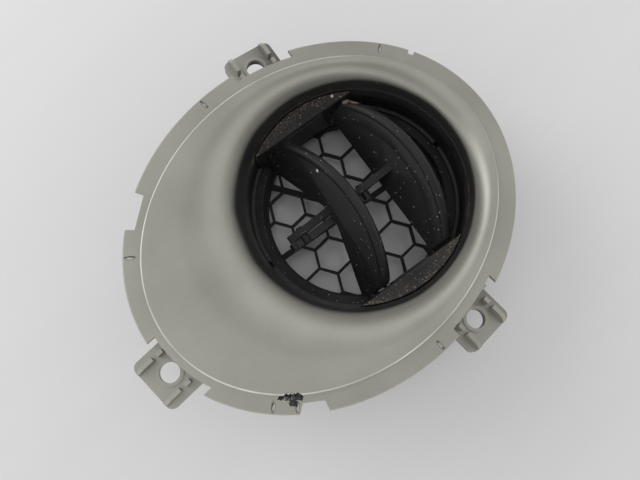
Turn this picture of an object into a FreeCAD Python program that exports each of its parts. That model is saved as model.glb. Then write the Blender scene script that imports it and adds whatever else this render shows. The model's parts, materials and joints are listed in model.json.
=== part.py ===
"""Round swivelling air vent: an oval bezel, a barrel, a turning drum and two linked vanes.

Millimetres. +Z points out of the dashboard along the barrel's axis, with the duct end of the barrel at z = 0.
+X points to the bezel's narrow side and +Y to the side of the top tab.
"""
import math
import os

import FreeCAD
import Part

V = FreeCAD.Vector
UP = V(0, 0, 1)

# Round opening of the bezel, which the drum, the barrel and the dish are sized from.
OPENING_R = 35.0
OPENING_Z = 27.0
BEZEL_WALL = 2.2
THROAT_DEPTH = 5.5
THROAT_LOW = OPENING_Z - THROAT_DEPTH

# Raised oval edge of the dish, in the plane of the flange. That plane is tilted about Y, because one end
# of the bezel stands further out of the dashboard.
DISH_SIDE = 10.0
DISH_END = 21.1
STEP_HALF_SHORT = OPENING_R + DISH_SIDE
STEP_HALF_LONG = OPENING_R + DISH_END
STEP_CENTRE = (-12.63, 0.17)
STEP_RISE = 0.8
STEP_BEVEL = 0.25
STEP_LAND = 0.5
FLANGE_TILT = 8.3
FLANGE_ABOVE_OPENING = 13.0
FLANGE_HEIGHT = OPENING_Z + FLANGE_ABOVE_OPENING

# Flange: an oval plate round the dish.
RIM_SIDE = 5.6
RIM_END = 5.1
FLANGE_HALF_SHORT = STEP_HALF_SHORT + RIM_SIDE
FLANGE_HALF_LONG = STEP_HALF_LONG + RIM_END
FLANGE_CENTRE = (STEP_CENTRE[0] + 0.4, STEP_CENTRE[1])
FLANGE_THICK = 1.4
FLANGE_BEVEL = 0.4

# Bell-mouth from the raised edge down to the round opening.
BELL_STATIONS = (0.0, 0.14, 0.28, 0.42, 0.56, 0.7, 0.85, 1.0)
FRONT_OVERLAP = 0.05
REAR_OVERLAP = 0.6

# Screw tabs: name, angle on the oval, direction, distance of the hole outside the oval, ends of the recess.
TABS = (
    ("left tab", 184.2, 181.7, 0.7, -9.1, 11.0),
    ("right tab", 280.7, 271.5, 1.5, -8.4, 10.6),
    ("top tab", 74.8, 81.6, 0.7, -10.4, 8.6),
)
TAB_DROP = 5.0
TAB_THICK = 2.0
TAB_HALF_WIDTH = 8.2
TAB_REACH = 6.4
TAB_CORNER = 2.0
TAB_HOLE_R = 2.85
TAB_RING_WIDE = 1.0
TAB_RING_RISE = 0.35
WEB_OUTER = -4.7
WEB_THICK = 1.8
FIN_OFFSET = 5.5
FIN_THICK = 1.2
FIN_HEIGHT = 3.0
FIN_START = 0.7
FIN_SLOPE_START = 4.4
FIN_TIP_HEIGHT = 0.8
STUB_START = -2.7
STUB_END = -0.8
RECESS_DEPTH = 2.6

# Notches in the flange's edge: angle on the oval, width at the edge, width inside, depth.
NOTCHES = (
    ("left notch", 132.6, 11.5, 10.5, 3.0),
    ("bottom notch", 228.8, 8.2, 6.0, 3.0),
    ("key notch", 24.4, 1.8, 1.8, 1.6),
)
NOTCH_CORNER = 0.4
MARK_ANGLES = (35.4, 94.8, 146.7, 217.1, 223.9, 267.2)
MARK_LONG = 3.0
MARK_INSET = 2.1
MARK_WIDE = 0.55
MARK_DEEP = 0.3

# Chewed hole beside the dish's edge: its angle on the oval and its outline, outwards and along the edge.
CHEWED_ANGLE = 222.2
CHEWED_OUTLINE = (
    (-3.9, -3.6), (-4.2, -1.9), (-3.7, -0.6), (-4.3, 0.6), (-3.8, 1.9), (-4.5, 3.4),
    (-5.2, 2.9), (-5.9, 1.5), (-5.3, 0.3), (-5.9, -0.9), (-5.0, -2.0), (-4.9, -3.1),
)

# Barrel housing behind the bezel.
HOUSING_WALL = 2.2
LEDGE_LOW = 6.5
LEDGE_HIGH = 8.5
SPIGOT_INSET = 1.0
SPIGOT_WALL = 2.0
SPIGOT_OUTER_R = OPENING_R - SPIGOT_INSET
SPIGOT_INNER_R = SPIGOT_OUTER_R - SPIGOT_WALL
TONGUE_ANGLES = (20.0, 110.0, 200.0, 290.0)
TONGUE_GAP = 0.15
TONGUE_THICK = 1.7
TONGUE_WIDE = 9.0
TONGUE_TAIL = 9.5
TONGUE_TIP = 3.7
TONGUE_FOOT = 5.0
CATCH_RISE = 0.8
CATCH_TALL = 1.6
CATCH_LOW = THROAT_LOW + CATCH_RISE
CATCH_HIGH = CATCH_LOW + CATCH_TALL
CATCH_REACH = 1.4
CATCH_WIDE = 5.2
CATCH_GAP = 0.2

# Honeycomb grille, snapped into the spigot from behind.
GRILLE_GAP = 0.15
GRILLE_RING_WALL = 1.55
GRILLE_RING_OUTER_R = SPIGOT_INNER_R - GRILLE_GAP
GRILLE_RING_INNER_R = GRILLE_RING_OUTER_R - GRILLE_RING_WALL
GRILLE_RING_LOW = 2.6
GRILLE_LOW = 4.2
GRILLE_HIGH = 5.9
CELL_SIDE = 6.59
CELL_BAR = 0.95
CELL_ANGLE = 1.5
CELL_START = (-6.98, -1.15)
FLOW_RIB_WIDE = 1.8
FLOW_RIB_LOW = 3.6
LONG_RIB_ANGLE = 172.0
SHORT_RIB_ANGLE = 122.0
NIB_ANGLES = (45.0, 135.0, 225.0, 315.0)
NIB_WIDE = 5.0
NIB_REACH = 0.9
NIB_TALL = 0.9

# Drum that turns in the housing, drawn square and turned as the photographed one stands.
DRUM_TURN = -7.0
DRUM_SIDE_GAP = 0.5
DRUM_SEAT_GAP = 0.05
DRUM_TOP_GAP = 0.4
DRUM_R = OPENING_R - DRUM_SIDE_GAP
DRUM_RING_WIDE = 3.3
DRUM_RING_TALL = 3.75
DRUM_RING_INNER_R = DRUM_R - DRUM_RING_WIDE
DRUM_LOW = LEDGE_HIGH + DRUM_SEAT_GAP
DRUM_RING_HIGH = DRUM_LOW + DRUM_RING_TALL
DRUM_HIGH = OPENING_Z - DRUM_TOP_GAP
DRUM_WALL = 1.8
RIM_WALL = 1.3
RIM_WALL_TALL = 7.6
CRESCENT_WIDE = 5.7
CHEEK_FACE = DRUM_R - CRESCENT_WIDE
CHEEK_EDGE_ROUND = 0.9
PAD_RISE = 0.4
PAD_LEFT = -6.9
PAD_RIGHT = 7.1
PAD_TOP_INSET = 2.0
LEDGE_OVERLAP = 0.4
LEDGE_INNER_R = DRUM_RING_INNER_R - LEDGE_OVERLAP

# Bead in the housing over the drum's ring, and the groove that it runs in.
BEAD_REACH = 1.1
BEAD_TALL = 0.9
BEAD_GAP = 0.4
BEAD_BREAK_ANGLE = -6.4
BEAD_BREAK_WIDE = 2.2
BEAD_BREAKS = 4
BEAD_INNER_R = OPENING_R - BEAD_REACH
BEAD_LOW = DRUM_RING_HIGH + BEAD_GAP
BEAD_HIGH = BEAD_LOW + BEAD_TALL
GROOVE_R = BEAD_INNER_R - BEAD_GAP
GROOVE_HIGH = BEAD_HIGH + BEAD_GAP

# Vanes: both turn on lines along the drum's own Y and lean towards its +X.
PIVOT_DEPTH = 7.9
PIVOT_Z = OPENING_Z - PIVOT_DEPTH
RIGHT_PIVOT = 9.7
LEFT_PIVOT = -14.1
VANE_LEAN = 41.5
VANE_END_GAP = 0.3
VANE_HALF_WIDTH = CHEEK_FACE - PAD_RISE - VANE_END_GAP
VANE_THICK = 2.0
PIN_R = 1.5
PIN_CLEARANCE = 0.05
PIN_END = CHEEK_FACE + DRUM_WALL
LIP_ARC_R = 42.6
LIP_REACH = 19.6
LIP_R = 1.5
LIP_SIDES = 8
FRONT_BAND = 4.2
FRONT_RISE = 0.5
RIGHT_BACK_EDGE = 1.0
LEFT_BACK_EDGE = -3.0
NOTCH_DEPTH = 7.0
NOTCH_HALF_FLAT = 3.2

# Arm on each vane, as offsets from its pivot line, and the link rod beside the arms.
ARM_INNER = 0.25
ARM_WIDE = 2.4
PIN_HOLE_OFFSET = (-6.7, 2.9)
ARM_TOP = ((6.4, 7.4), (-4.4, 4.7), (-9.4, 3.9), (-11.2, 3.4))
ARM_BOTTOM = ((-11.6, 2.2), (-11.2, 1.1), (-8.4, 1.0), (-4.4, 1.7), (4.9, 5.5))
STUD_R = 0.8
STUD_CLEARANCE = 0.06
STUD_HEAD_R = 1.05
STUD_HEAD_THICK = 0.4
STUD_HEAD_GAP = 0.1
LINK_INNER = 0.15
LINK_WIDE = 2.3
LINK_TALL = 1.8
LINK_EYE_R = 1.6
LINK_TAIL = 4.4
TAIL_KNOB_R = 1.3


FLANGE = FreeCAD.Placement(V(0, 0, FLANGE_HEIGHT), FreeCAD.Rotation(V(0, 1, 0), FLANGE_TILT))
DRUM = FreeCAD.Placement(V(0, 0, 0), FreeCAD.Rotation(UP, DRUM_TURN))


def placed(shape, placement):
    """A copy of the shape moved by the placement."""
    moved = shape.copy()
    moved.Placement = placement.multiply(shape.Placement)
    return moved


def turned(shape, angle):
    """A copy of the shape turned about Z."""
    return placed(shape, FreeCAD.Placement(V(0, 0, 0), FreeCAD.Rotation(UP, angle)))


def box(x, y, z):
    """A box from its low and high ends along each axis."""
    return Part.makeBox(x[1] - x[0], y[1] - y[0], z[1] - z[0], V(x[0], y[0], z[0]))


def disc(radius, low, high):
    return Part.makeCylinder(radius, high - low, V(0, 0, low))


def tube(outer, inner, low, high):
    return disc(outer, low, high).cut(disc(inner, low, high))


def rod_y(radius, start, end, x=0.0, z=0.0):
    """A round rod along Y."""
    return Part.makeCylinder(radius, end - start, V(x, start, z), V(0, 1, 0))


def joined(first, *others):
    """The shapes as one solid, without the seams between them."""
    whole = first
    for other in others:
        whole = whole.fuse(other)
    return whole.removeSplitter()


def prism(points, low, high):
    """A straight-sided solid on a closed outline of (x, y) points."""
    wire = Part.makePolygon([V(x, y, low) for x, y in list(points) + [points[0]]])
    return Part.Face(wire).extrude(V(0, 0, high - low))


def slab_xz(points, start, end):
    """A plate across Y on a closed outline of (x, z) points."""
    wire = Part.makePolygon([V(x, start, z) for x, z in list(points) + [points[0]]])
    return Part.Face(wire).extrude(V(0, end - start, 0))


def upright_edges(shape, test):
    """The edges along Z whose middle point passes the test."""
    found = []
    for edge in shape.Edges:
        first = edge.Vertexes[0].Point
        last = edge.Vertexes[-1].Point
        along = last - first
        if along.Length > 0.1 and abs(along.z) > 0.999 * along.Length and test((first + last) * 0.5):
            found.append(edge)
    return found


def oval_wire(centre, long_arm, short_arm):
    """An ellipse from its centre and its two half-axes, or a circle where they are equal."""
    if abs(long_arm.Length - short_arm.Length) < 1e-6:
        curve = Part.Circle(centre, UP, long_arm.Length)
    else:
        curve = Part.Ellipse(centre + long_arm, centre + short_arm, centre)
    return Part.Wire(curve.toShape())


def oval_plate(centre, half_long, half_short, low, high):
    """An oval plate in the flange's own plane."""
    wire = oval_wire(V(centre[0], centre[1], low), V(half_long, 0, 0), V(0, half_short, 0))
    return Part.Face(wire).extrude(V(0, 0, high - low))


def bevelled_plate(centre, half_long, half_short, low, high, bevel):
    """An oval plate with its upper edge bevelled."""
    wires = [oval_wire(V(centre[0], centre[1], high - bevel + inset), V(half_long - inset, 0, 0),
                       V(0, half_short - inset, 0)) for inset in (0, bevel)]
    edge = Part.makeLoft(wires, True, True)
    return oval_plate(centre, half_long, half_short, low, high - bevel).fuse(edge)


def at_edge(shape, angle, outside=0.0, direction=None):
    """The shape moved from the origin to the flange's oval edge, its +X turned outwards or to a direction."""
    share = math.radians(angle)
    x = FLANGE_CENTRE[0] + FLANGE_HALF_LONG * math.cos(share)
    y = FLANGE_CENTRE[1] + FLANGE_HALF_SHORT * math.sin(share)
    if direction is None:
        normal = (math.cos(share) / FLANGE_HALF_LONG, math.sin(share) / FLANGE_HALF_SHORT)
        direction = math.degrees(math.atan2(normal[1], normal[0]))
    x += outside * math.cos(math.radians(direction))
    y += outside * math.sin(math.radians(direction))
    return placed(shape, FreeCAD.Placement(V(x, y, 0), FreeCAD.Rotation(UP, direction)))


def bell_wire(share, skin, overlap):
    """One section of the bell, from the raised edge at share 0 to the opening at share 1, set back by skin.

    The first section reaches into the flange plate, or out of it, by the overlap.
    """
    inward = math.sin(share * math.pi / 2)
    level = math.cos(share * math.pi / 2)
    tilt = math.radians(FLANGE_TILT)
    step_half_long = (STEP_HALF_LONG - STEP_LAND) * math.cos(tilt)
    step_half_short = STEP_HALF_SHORT - STEP_LAND
    step_x = STEP_CENTRE[0] * math.cos(tilt)
    rise = (STEP_RISE - skin + (overlap if share == 0 else 0)) / math.cos(tilt)
    step_z = FLANGE_HEIGHT + rise - step_x * math.tan(tilt)
    half_long = step_half_long + (OPENING_R - step_half_long + skin) * inward
    half_short = step_half_short + (OPENING_R - step_half_short + skin) * inward
    centre = V(step_x * (1 - inward), STEP_CENTRE[1] * (1 - inward), OPENING_Z + (step_z - OPENING_Z) * level)
    slope = -step_half_long * math.tan(tilt) * level
    return oval_wire(centre, V(half_long, 0, slope), V(0, half_short, 0))


def bell_plug(skin, overlap):
    """The solid inside the bell's front surface, or inside its rear surface where skin is the wall."""
    return Part.makeLoft([bell_wire(share, skin, overlap) for share in BELL_STATIONS], True, False)


def screw_tab():
    """One tab with its hole at the origin, its top at z = 0 and its outer edge towards +X."""
    root = WEB_OUTER - WEB_THICK
    plate = box((root, TAB_REACH), (-TAB_HALF_WIDTH, TAB_HALF_WIDTH), (-TAB_THICK, 0))
    plate = plate.makeFillet(TAB_CORNER, upright_edges(plate, lambda middle: middle.x > 0))
    web_top = TAB_DROP - FLANGE_THICK
    web = box((root, WEB_OUTER), (-TAB_HALF_WIDTH, TAB_HALF_WIDTH), (-TAB_THICK, web_top))
    pieces = [web, disc(TAB_HOLE_R + TAB_RING_WIDE, -TAB_THICK, TAB_RING_RISE)]
    profile = ((FIN_START, 0), (FIN_START, FIN_HEIGHT), (FIN_SLOPE_START, FIN_HEIGHT),
               (TAB_REACH, FIN_TIP_HEIGHT), (TAB_REACH, 0))
    for side in (-1, 1):
        near = side * FIN_OFFSET - FIN_THICK / 2
        pieces.append(slab_xz(profile, near, near + FIN_THICK))
        pieces.append(box((STUB_START, STUB_END), (near, near + FIN_THICK), (0, FIN_HEIGHT)))
    return joined(plate, *pieces).cut(disc(TAB_HOLE_R, -TAB_THICK, TAB_RING_RISE))


def notch_cutter(wide, inner_wide, depth, low, high):
    """A notch with rounded inner corners, cut inwards from the edge at the origin."""
    beyond = 2.0
    flare = (wide - inner_wide) / 2 * beyond / depth
    outline = ((-depth, -inner_wide / 2), (beyond, -wide / 2 - flare), (beyond, wide / 2 + flare),
               (-depth, inner_wide / 2))
    notch = prism(outline, low, high)
    return notch.makeFillet(NOTCH_CORNER, upright_edges(notch, lambda middle: middle.x < 0))


def flange_cutters():
    """What is cut out of the flange's edge, in its own plane."""
    low, high = -FLANGE_THICK - 1.0, 2.0
    inner = oval_plate(FLANGE_CENTRE, FLANGE_HALF_LONG - RECESS_DEPTH, FLANGE_HALF_SHORT - RECESS_DEPTH,
                      low - 1.0, high + 1.0)
    cutters = []
    for _name, angle, direction, outside, low_side, high_side in TABS:
        strip = box((-10.0, 12.0), (low_side, high_side), (low, high))
        cutters.append(at_edge(strip, angle, outside, direction).cut(inner))
    for _name, angle, wide, inner_wide, depth in NOTCHES:
        cutters.append(at_edge(notch_cutter(wide, inner_wide, depth, low, high), angle))
    for angle in MARK_ANGLES:
        mark = box((-MARK_LONG / 2, MARK_LONG / 2), (-MARK_WIDE / 2, MARK_WIDE / 2), (-MARK_DEEP, high))
        cutters.append(at_edge(mark, angle, -MARK_INSET))
    cutters.append(at_edge(prism(CHEWED_OUTLINE, low, high), CHEWED_ANGLE))
    return cutters


def catch():
    """A wedge on the throat that a tongue's window snaps over, at +X."""
    throat_r = OPENING_R + BEZEL_WALL
    profile = ((throat_r - 1.0, CATCH_LOW), (throat_r, CATCH_LOW), (throat_r + CATCH_REACH, CATCH_HIGH - 0.5),
               (throat_r + CATCH_REACH, CATCH_HIGH), (throat_r - 1.0, CATCH_HIGH))
    return slab_xz(profile, -CATCH_WIDE / 2, CATCH_WIDE / 2)


def make_bezel():
    low = -FLANGE_THICK
    flange = bevelled_plate(FLANGE_CENTRE, FLANGE_HALF_LONG, FLANGE_HALF_SHORT, low, 0, FLANGE_BEVEL)
    step = bevelled_plate(STEP_CENTRE, STEP_HALF_LONG, STEP_HALF_SHORT, low, STEP_RISE, STEP_BEVEL)
    plate = flange.fuse(step)
    for cutter in flange_cutters():
        plate = plate.cut(cutter)
    tab = screw_tab()
    tab.translate(V(0, 0, -TAB_DROP))
    for _name, angle, direction, outside, _low_side, _high_side in TABS:
        plate = plate.fuse(at_edge(tab, angle, outside, direction))
    throat = disc(OPENING_R + BEZEL_WALL, THROAT_LOW, OPENING_Z)
    bezel = placed(plate, FLANGE).fuse(bell_plug(BEZEL_WALL, REAR_OVERLAP)).fuse(throat)
    for angle in TONGUE_ANGLES:
        bezel = bezel.fuse(turned(catch(), angle))
    bezel = bezel.cut(bell_plug(0, FRONT_OVERLAP)).cut(disc(OPENING_R, THROAT_LOW - 1.0, OPENING_Z + 0.01))
    return bezel.removeSplitter()


def tongue():
    """A snap tongue outside the housing at +X, with the window for a catch."""
    inner = OPENING_R + HOUSING_WALL + TONGUE_GAP
    outer = inner + TONGUE_THICK
    low = THROAT_LOW - TONGUE_TAIL
    blade = box((inner, outer), (-TONGUE_WIDE / 2, TONGUE_WIDE / 2), (low, THROAT_LOW + TONGUE_TIP))
    foot = box((inner - 1.2, outer), (-TONGUE_WIDE / 2, TONGUE_WIDE / 2), (low, low + TONGUE_FOOT))
    half_window = CATCH_WIDE / 2 + CATCH_GAP
    window = box((inner - 1.0, outer + 1.0), (-half_window, half_window),
                 (CATCH_LOW - CATCH_GAP, CATCH_HIGH + CATCH_GAP))
    return blade.fuse(foot).cut(window)


def make_housing():
    outer = OPENING_R + HOUSING_WALL
    tube_wall = tube(outer, OPENING_R, LEDGE_LOW, THROAT_LOW)
    ledge = tube(outer, LEDGE_INNER_R, LEDGE_LOW, LEDGE_HIGH)
    spigot = tube(SPIGOT_OUTER_R, SPIGOT_INNER_R, 0, LEDGE_LOW)
    bead = tube(OPENING_R + 0.5, BEAD_INNER_R, BEAD_LOW, BEAD_HIGH)
    for number in range(BEAD_BREAKS):
        gap = box((BEAD_INNER_R - 1.0, OPENING_R), (-BEAD_BREAK_WIDE / 2, BEAD_BREAK_WIDE / 2),
                  (BEAD_LOW - 1.0, BEAD_HIGH + 1.0))
        bead = bead.cut(turned(gap, BEAD_BREAK_ANGLE + number * 360 / BEAD_BREAKS))
    nibs = []
    for angle in NIB_ANGLES:
        nib = box((SPIGOT_INNER_R - NIB_REACH, SPIGOT_INNER_R + 0.5), (-NIB_WIDE / 2, NIB_WIDE / 2),
                  (GRILLE_RING_LOW - NIB_TALL, GRILLE_RING_LOW))
        nibs.append(turned(nib, angle))
    tongues = [turned(tongue(), angle) for angle in TONGUE_ANGLES]
    return joined(tube_wall, ledge, spigot, bead, *nibs, *tongues)


def honeycomb():
    """The hexagonal holes of the grille."""
    step = CELL_SIDE * math.sqrt(3)
    hole_side = CELL_SIDE - CELL_BAR / math.sqrt(3)
    reach = GRILLE_RING_INNER_R + CELL_SIDE
    first = math.radians(CELL_ANGLE + 30)
    second = math.radians(CELL_ANGLE + 90)
    rows = 2 + round(reach / CELL_SIDE)
    cells = []
    for row in range(-rows, rows + 1):
        for column in range(-rows, rows + 1):
            x = CELL_START[0] + step * (row * math.cos(first) + column * math.cos(second))
            y = CELL_START[1] + step * (row * math.sin(first) + column * math.sin(second))
            if math.hypot(x, y) < reach:
                angles = [math.radians(CELL_ANGLE + 60 * corner) for corner in range(6)]
                corners = [(x + hole_side * math.cos(a), y + hole_side * math.sin(a)) for a in angles]
                cells.append(prism(corners, GRILLE_LOW - 1.0, GRILLE_HIGH + 1.0))
    return cells


def make_grille():
    plate = disc(GRILLE_RING_INNER_R + 0.5, GRILLE_LOW, GRILLE_HIGH).cut(Part.makeCompound(honeycomb()))
    ring = tube(GRILLE_RING_OUTER_R, GRILLE_RING_INNER_R, GRILLE_RING_LOW, LEDGE_LOW)
    half = FLOW_RIB_WIDE / 2
    reach = GRILLE_RING_INNER_R + 0.5
    long_rib = turned(box((-reach, reach), (-half, half), (FLOW_RIB_LOW, GRILLE_HIGH)), LONG_RIB_ANGLE)
    short_rib = turned(box((0, reach), (-half, half), (FLOW_RIB_LOW, GRILLE_HIGH)), SHORT_RIB_ANGLE)
    return joined(ring, plate, long_rib, short_rib)


def crescent():
    """The cheek on the drum's +Y side with the hollow crescent behind it."""
    beyond = box((-DRUM_R, DRUM_R), (CHEEK_FACE, DRUM_R), (0, DRUM_HIGH + 1.0))
    top = disc(DRUM_R, DRUM_HIGH - DRUM_WALL, DRUM_HIGH).common(beyond)
    rim = tube(DRUM_R, DRUM_R - RIM_WALL, DRUM_HIGH - RIM_WALL_TALL, DRUM_HIGH).common(beyond)
    cheek = box((-DRUM_R, DRUM_R), (CHEEK_FACE, CHEEK_FACE + DRUM_WALL), (DRUM_LOW, DRUM_HIGH))
    cheek = cheek.common(disc(DRUM_R, 0, DRUM_HIGH))
    whole = joined(cheek, top, rim)
    chord = [edge for edge in whole.Edges
             if abs(edge.BoundBox.YMax - CHEEK_FACE) < 0.01 and edge.BoundBox.ZMin > DRUM_HIGH - 0.01]
    whole = whole.makeFillet(CHEEK_EDGE_ROUND, chord)
    pad = box((PAD_LEFT, PAD_RIGHT), (CHEEK_FACE - PAD_RISE, CHEEK_FACE + 0.5),
              (DRUM_RING_HIGH, DRUM_HIGH - PAD_TOP_INSET))
    whole = whole.fuse(pad)
    for x in (RIGHT_PIVOT, LEFT_PIVOT):
        hole = rod_y(PIN_R + PIN_CLEARANCE, CHEEK_FACE - 1.0, CHEEK_FACE + DRUM_WALL + 1.0, x, PIVOT_Z)
        whole = whole.cut(hole)
    return whole


def make_drum():
    ring = tube(DRUM_R, DRUM_RING_INNER_R, DRUM_LOW, DRUM_RING_HIGH)
    near = crescent()
    far = near.mirror(V(0, 0, 0), V(0, 1, 0))
    groove = tube(DRUM_R + 1.0, GROOVE_R, DRUM_RING_HIGH, GROOVE_HIGH)
    return placed(joined(ring, near, far).cut(groove), DRUM)


def arc_centre():
    """Depth of the centre of the lip's arc, counted from the pivot line."""
    return LIP_REACH - LIP_ARC_R


def arc_depth(radius, y):
    return arc_centre() + math.sqrt(radius ** 2 - y ** 2)


def blade_face(back_points, radius):
    """The outline of a blade in the YZ plane: the back edge given, the front edge on an arc."""
    side = VANE_HALF_WIDTH - LIP_R
    front_left = V(0, -side, arc_depth(radius, side))
    front_middle = V(0, 0, arc_depth(radius, 0))
    front_right = V(0, side, arc_depth(radius, side))
    arc = Part.Arc(front_left, front_middle, front_right).toShape()
    back = [front_right] + [V(0, y, z) for y, z in back_points] + [front_left]
    lines = [Part.makeLine(start, end) for start, end in zip(back, back[1:]) if (end - start).Length > 1e-6]
    return Part.Face(Part.Wire(Part.__sortEdges__([arc] + lines)))


def lip_bar(radius, spread):
    """The rounded bar along the lip's arc, as a many-sided section turned about the arc's centre."""
    ring = []
    for number in range(LIP_SIDES):
        angle = math.radians(360 * (number + 0.5) / LIP_SIDES)
        ring.append(V(LIP_R * math.cos(angle), 0, arc_centre() + radius + LIP_R * math.sin(angle)))
    section = Part.Face(Part.makePolygon(ring + [ring[0]]))
    section.rotate(V(0, 0, arc_centre()), V(1, 0, 0), -spread)
    return section.revolve(V(0, 0, arc_centre()), V(1, 0, 0), 2 * spread)


def vane_blade(back_points):
    """A vane with its pivot line along Y through the origin and its blade in the YZ plane."""
    half = VANE_THICK / 2
    side = VANE_HALF_WIDTH - LIP_R
    lip_arc = LIP_ARC_R - LIP_R
    front_arc = LIP_ARC_R - FRONT_BAND
    corner = arc_depth(lip_arc, side)
    blade = blade_face(back_points, lip_arc)
    blade.translate(V(-half, 0, 0))
    blade = blade.extrude(V(VANE_THICK, 0, 0))
    front_back = [(side, arc_depth(front_arc, side)), (-side, arc_depth(front_arc, side))]
    front = blade_face(front_back, lip_arc)
    front.translate(V(-half - FRONT_RISE, 0, 0))
    front = front.extrude(V(half + FRONT_RISE, 0, 0))
    hollow = Part.makeCylinder(front_arc, 4 * VANE_THICK, V(-2 * VANE_THICK, 0, arc_centre()), V(1, 0, 0))
    pieces = [front.cut(hollow), lip_bar(lip_arc, math.degrees(math.asin(side / lip_arc)))]
    for way in (-1, 1):
        pieces.append(Part.makeCylinder(LIP_R, corner, V(0, way * side, 0), UP))
        pieces.append(Part.makeCone(LIP_R, LIP_R / 2, LIP_R, V(0, way * side, corner), UP))
        start, end = sorted((way * (side - 1.0), way * PIN_END))
        pieces.append(rod_y(PIN_R, start, end))
    return joined(blade, *pieces)


def on_pivot(shape, pivot_x):
    """The shape leaned as photographed and moved to its pivot line on the drum."""
    lean = FreeCAD.Placement(V(pivot_x, 0, PIVOT_Z), FreeCAD.Rotation(V(0, 1, 0), VANE_LEAN))
    return placed(shape, lean)


def vane_arm(pivot_x):
    """The arm from a vane's face towards the drum's -X side, with the hole for the link rod's stud."""
    outline = [(pivot_x + x, PIVOT_Z + z) for x, z in ARM_TOP + ARM_BOTTOM]
    arm = slab_xz(outline, ARM_INNER, ARM_INNER + ARM_WIDE)
    hole = rod_y(STUD_R + STUD_CLEARANCE, ARM_INNER - 1.0, ARM_INNER + ARM_WIDE + 1.0,
                 pivot_x + PIN_HOLE_OFFSET[0], PIVOT_Z + PIN_HOLE_OFFSET[1])
    return arm.cut(hole)


def make_vane(pivot_x, back_points):
    vane = on_pivot(vane_blade(back_points), pivot_x)
    return placed(joined(vane, vane_arm(pivot_x)), DRUM)


def make_right_vane():
    side = VANE_HALF_WIDTH - LIP_R
    return make_vane(RIGHT_PIVOT, [(side, RIGHT_BACK_EDGE), (-side, RIGHT_BACK_EDGE)])


def make_left_vane():
    side = VANE_HALF_WIDTH - LIP_R
    back = [(side, LEFT_BACK_EDGE), (NOTCH_HALF_FLAT, NOTCH_DEPTH), (-NOTCH_HALF_FLAT, NOTCH_DEPTH),
            (-side, LEFT_BACK_EDGE)]
    return make_vane(LEFT_PIVOT, back)


def make_link():
    height = PIVOT_Z + PIN_HOLE_OFFSET[1]
    right_pin = RIGHT_PIVOT + PIN_HOLE_OFFSET[0]
    left_pin = LEFT_PIVOT + PIN_HOLE_OFFSET[0]
    near, far = -LINK_INNER - LINK_WIDE, -LINK_INNER
    half = LINK_TALL / 2
    pieces = [rod_y(TAIL_KNOB_R, near, far, left_pin - LINK_TAIL, height)]
    arm_outer = ARM_INNER + ARM_WIDE
    for x in (right_pin, left_pin):
        pieces.append(rod_y(LINK_EYE_R, near, far, x, height))
        pieces.append(rod_y(STUD_R, near, arm_outer + STUD_HEAD_GAP + STUD_HEAD_THICK, x, height))
        pieces.append(rod_y(STUD_HEAD_R, arm_outer + STUD_HEAD_GAP,
                            arm_outer + STUD_HEAD_GAP + STUD_HEAD_THICK, x, height))
    bar = box((left_pin - LINK_TAIL, right_pin), (near, far), (height - half, height + half))
    return placed(joined(bar, *pieces), DRUM)


def main():
    os.makedirs("parts", exist_ok=True)
    parts = {
        "bezel": make_bezel(),
        "barrel_housing": make_housing(),
        "rear_grille": make_grille(),
        "drum": make_drum(),
        "right_vane": make_right_vane(),
        "left_vane": make_left_vane(),
        "link_rod": make_link(),
    }
    for name, shape in parts.items():
        shape.exportStep("parts/" + name + ".step")
        print(name, shape.isValid(), len(shape.Solids), round(shape.Volume), shape.BoundBox)


main()
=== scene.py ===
"""Looks of the round swivelling air vent, laid out as an add-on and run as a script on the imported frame."""
import json
import math

import bpy
from mathutils import Matrix, Vector


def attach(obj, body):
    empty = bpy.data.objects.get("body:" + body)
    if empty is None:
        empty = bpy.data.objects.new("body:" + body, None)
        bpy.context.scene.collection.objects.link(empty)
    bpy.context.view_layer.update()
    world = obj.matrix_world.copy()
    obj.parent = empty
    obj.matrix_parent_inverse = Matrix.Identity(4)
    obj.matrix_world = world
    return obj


bl_info = {
    "name": "Swivelling air vent",
    "version": (1, 0, 0),
    "blender": (4, 5, 0),
    "location": "View3D > Sidebar > Vent",
    "description": "Dresses the packed air vent with its paint, plastic, dust and wear, and sets its stage",
    "category": "Object",
}

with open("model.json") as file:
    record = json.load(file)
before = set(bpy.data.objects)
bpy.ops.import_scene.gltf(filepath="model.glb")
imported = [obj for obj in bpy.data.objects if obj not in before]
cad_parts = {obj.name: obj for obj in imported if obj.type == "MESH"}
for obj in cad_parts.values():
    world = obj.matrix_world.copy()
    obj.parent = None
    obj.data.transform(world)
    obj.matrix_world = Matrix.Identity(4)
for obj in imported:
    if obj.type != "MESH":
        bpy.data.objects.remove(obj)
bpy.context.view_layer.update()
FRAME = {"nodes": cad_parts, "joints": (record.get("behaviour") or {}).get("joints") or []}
NODES = FRAME["nodes"]

# All lengths are in metres in the frame's axes, angles are in radians, and the scales of patterns are in
# repeats for each metre.

# Camera of the photograph.
CAMERA_PLACE = (-0.0321, -0.0226, 0.1995)
CAMERA_RIGHT = (0.7332, -0.6798, -0.0198)
CAMERA_UP = (0.6753, 0.7244, 0.1386)
CAMERA_CLIP = 0.01
SENSOR_WIDTH = 36.0
PHOTO_WIDTH = 640
PHOTO_FOCAL = 560

# Stage: where the lamps point, between which sines of the height above the horizon the walls' light gives way
# to the ceiling's, and the table's look.
LAMP_TARGET = (0.0, 0.0, 0.03)
CEILING_LOW = 0.25
CEILING_HIGH = 0.85
TABLE_ROUGHNESS = 0.6
TABLE_STREAKS = (1.0, 9.0, 1.0)
TABLE_TURN = math.radians(40)
TABLE_SCALE = 6.0
TABLE_DARKER = 0.94

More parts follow.
